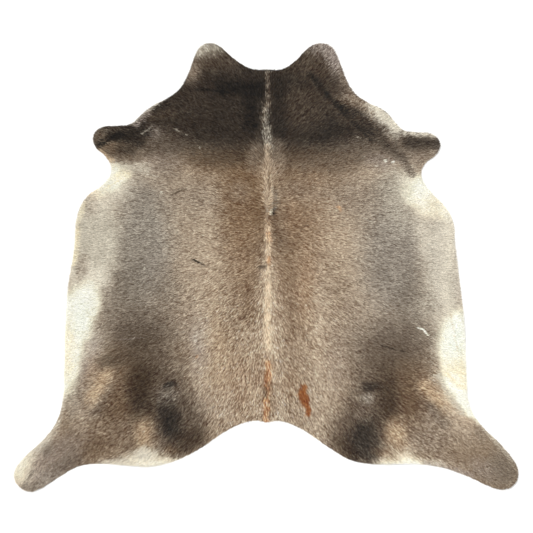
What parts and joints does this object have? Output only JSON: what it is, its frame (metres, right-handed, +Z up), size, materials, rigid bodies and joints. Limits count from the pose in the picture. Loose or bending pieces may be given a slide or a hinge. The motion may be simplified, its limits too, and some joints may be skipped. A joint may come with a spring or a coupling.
{
  "type": "cowhide rug",
  "caption": "Whole hair-on cowhide rug: one flat skin with its neck, fore shanks, belly and hind shanks, lying hair side up.",
  "frame": {"origin": "middle of the rug's length and span, on the floor that it lies on", "axes": "+Z up out of the hair side, +Y from the tail to the neck, +X across the rug from the left hind shank to the right one"},
  "size_m": [2.36, 2.1, 0.0176],
  "materials": {
    "coat": "short lying hair in greys and warm browns, with cream belly patches and a pale line along the spine; suede flesh side below"
  },
  "bodies": {
    "root": {"cowhide": "coat"}
  },
  "joints": []
}
